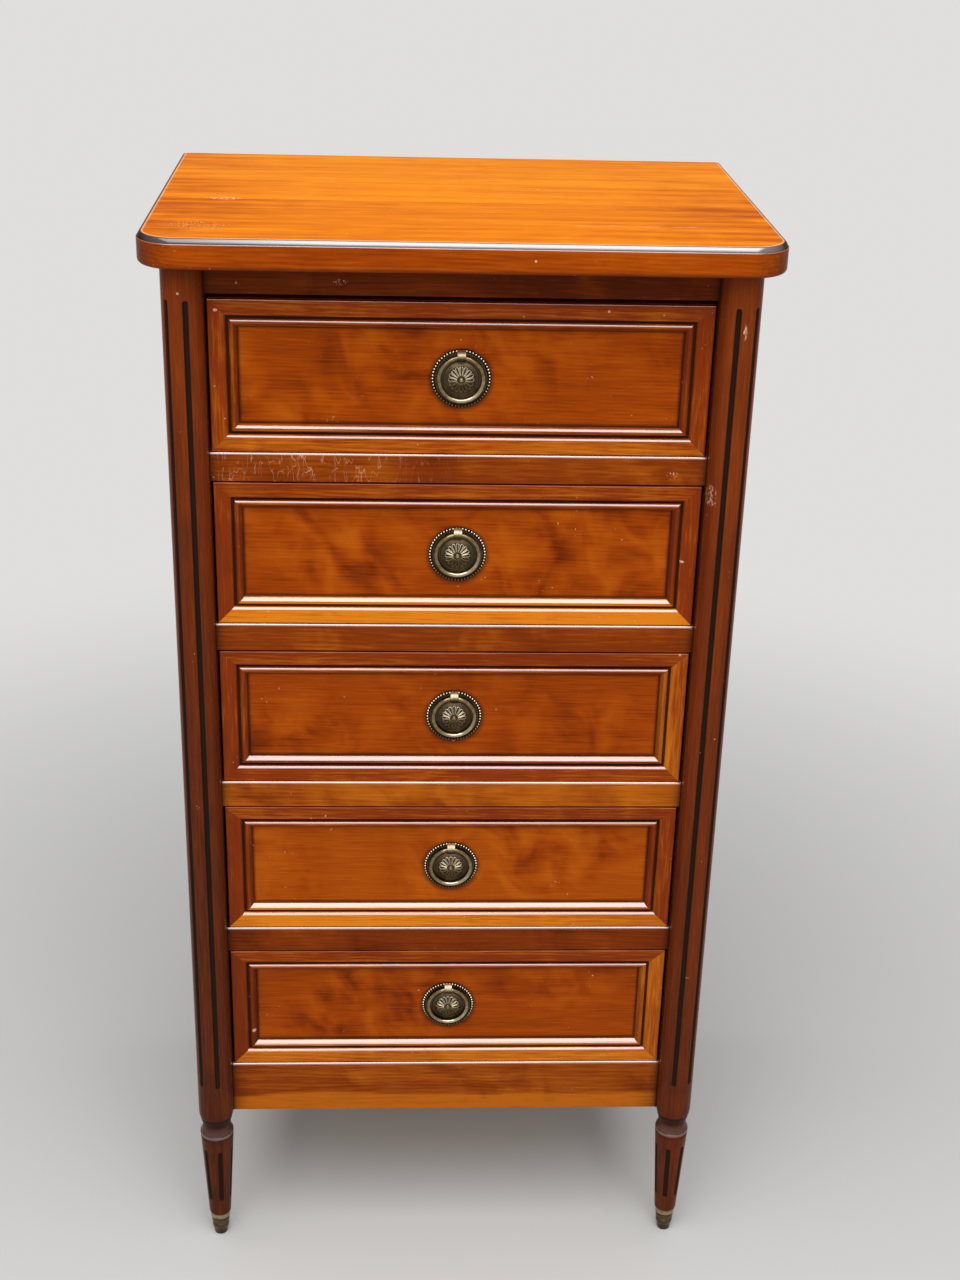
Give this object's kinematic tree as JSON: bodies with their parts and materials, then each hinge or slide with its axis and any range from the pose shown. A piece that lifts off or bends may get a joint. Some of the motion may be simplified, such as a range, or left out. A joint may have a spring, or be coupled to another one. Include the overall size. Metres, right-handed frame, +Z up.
{
  "type": "chest of drawers",
  "caption": "Tall narrow chest of drawers with turned fluted front posts, panelled drawers and hanging brass ring pulls.",
  "frame": {"origin": "on the floor below the middle of the top board", "axes": "+Z up, -Y out of the drawer fronts, +X to the right as seen from the front"},
  "size_m": [0.5456, 0.3908, 1.069],
  "materials": {
    "cherry_top": "glossy lacquered cherry, orange",
    "cherry_panel": "glossy lacquered cherry, figured",
    "cherry_moulding": "glossy lacquered cherry, dark in the quirks",
    "cherry_rail": "glossy lacquered cherry",
    "cherry_post": "glossy lacquered cherry, red brown, dark flutes",
    "cherry_side": "satin lacquered cherry",
    "secondary_wood": "plain unfinished softwood",
    "plywood": "plain thin plywood",
    "antique_brass": "aged brass, dark in the hollows",
    "steel": "plain zinc-plated steel"
  },
  "bodies": {
    "carcase": {"front_post_left": "cherry_post", "rear_post_left": "cherry_post", "side_panel_left": "cherry_side", "front_post_right": "cherry_post", "rear_post_right": "cherry_post", "side_panel_right": "cherry_side", "apron_rail": "cherry_rail", "divider_rail_4": "cherry_rail", "divider_rail_3": "cherry_rail", "divider_rail_2": "cherry_rail", "divider_rail_1": "cherry_rail", "frieze_rail": "cherry_rail", "back_rails": "secondary_wood", "back_panel": "plywood", "drawer_runners": "secondary_wood", "drawer_stops": "secondary_wood", "top_cleats": "secondary_wood", "top_screws": "steel", "top_board": "cherry_top", "sabots": "antique_brass"},
    "drawer_1": {"drawer_1_moulding": "cherry_moulding", "drawer_1_front_board": "cherry_panel", "drawer_1_sides": "secondary_wood", "drawer_1_back": "secondary_wood", "drawer_1_bottom": "plywood", "drawer_1_pull_plate": "antique_brass", "drawer_1_pull_bolt": "steel"},
    "ring_1": {"drawer_1_pull_ring": "antique_brass"},
    "drawer_2": {"drawer_2_moulding": "cherry_moulding", "drawer_2_front_board": "cherry_panel", "drawer_2_sides": "secondary_wood", "drawer_2_back": "secondary_wood", "drawer_2_bottom": "plywood", "drawer_2_pull_plate": "antique_brass", "drawer_2_pull_bolt": "steel"},
    "ring_2": {"drawer_2_pull_ring": "antique_brass"},
    "drawer_3": {"drawer_3_moulding": "cherry_moulding", "drawer_3_front_board": "cherry_panel", "drawer_3_sides": "secondary_wood", "drawer_3_back": "secondary_wood", "drawer_3_bottom": "plywood", "drawer_3_pull_plate": "antique_brass", "drawer_3_pull_bolt": "steel"},
    "ring_3": {"drawer_3_pull_ring": "antique_brass"},
    "drawer_4": {"drawer_4_moulding": "cherry_moulding", "drawer_4_front_board": "cherry_panel", "drawer_4_sides": "secondary_wood", "drawer_4_back": "secondary_wood", "drawer_4_bottom": "plywood", "drawer_4_pull_plate": "antique_brass", "drawer_4_pull_bolt": "steel"},
    "ring_4": {"drawer_4_pull_ring": "antique_brass"},
    "drawer_5": {"drawer_5_moulding": "cherry_moulding", "drawer_5_front_board": "cherry_panel", "drawer_5_sides": "secondary_wood", "drawer_5_back": "secondary_wood", "drawer_5_bottom": "plywood", "drawer_5_pull_plate": "antique_brass", "drawer_5_pull_bolt": "steel"},
    "ring_5": {"drawer_5_pull_ring": "antique_brass"}
  },
  "joints": [
    {"name": "drawer_1_slide", "type": "slide", "parent": "carcase", "child": "drawer_1", "axis": [0, -1, 0], "range_m": [0, 0.26]},
    {"name": "ring_1_swing", "type": "hinge", "parent": "drawer_1", "child": "ring_1", "pos_m": [0, -0.14403, 0.9585], "axis": [-1, 0, 0], "range_deg": [0, 90]},
    {"name": "drawer_2_slide", "type": "slide", "parent": "carcase", "child": "drawer_2", "axis": [0, -1, 0], "range_m": [0, 0.26]},
    {"name": "ring_2_swing", "type": "hinge", "parent": "drawer_2", "child": "ring_2", "pos_m": [0, -0.14403, 0.7935], "axis": [-1, 0, 0], "range_deg": [0, 90]},
    {"name": "drawer_3_slide", "type": "slide", "parent": "carcase", "child": "drawer_3", "axis": [0, -1, 0], "range_m": [0, 0.26]},
    {"name": "ring_3_swing", "type": "hinge", "parent": "drawer_3", "child": "ring_3", "pos_m": [0, -0.14403, 0.6285], "axis": [-1, 0, 0], "range_deg": [0, 90]},
    {"name": "drawer_4_slide", "type": "slide", "parent": "carcase", "child": "drawer_4", "axis": [0, -1, 0], "range_m": [0, 0.26]},
    {"name": "ring_4_swing", "type": "hinge", "parent": "drawer_4", "child": "ring_4", "pos_m": [0, -0.14403, 0.4635], "axis": [-1, 0, 0], "range_deg": [0, 90]},
    {"name": "drawer_5_slide", "type": "slide", "parent": "carcase", "child": "drawer_5", "axis": [0, -1, 0], "range_m": [0, 0.26]},
    {"name": "ring_5_swing", "type": "hinge", "parent": "drawer_5", "child": "ring_5", "pos_m": [0, -0.14403, 0.2985], "axis": [-1, 0, 0], "range_deg": [0, 90]}
  ]
}
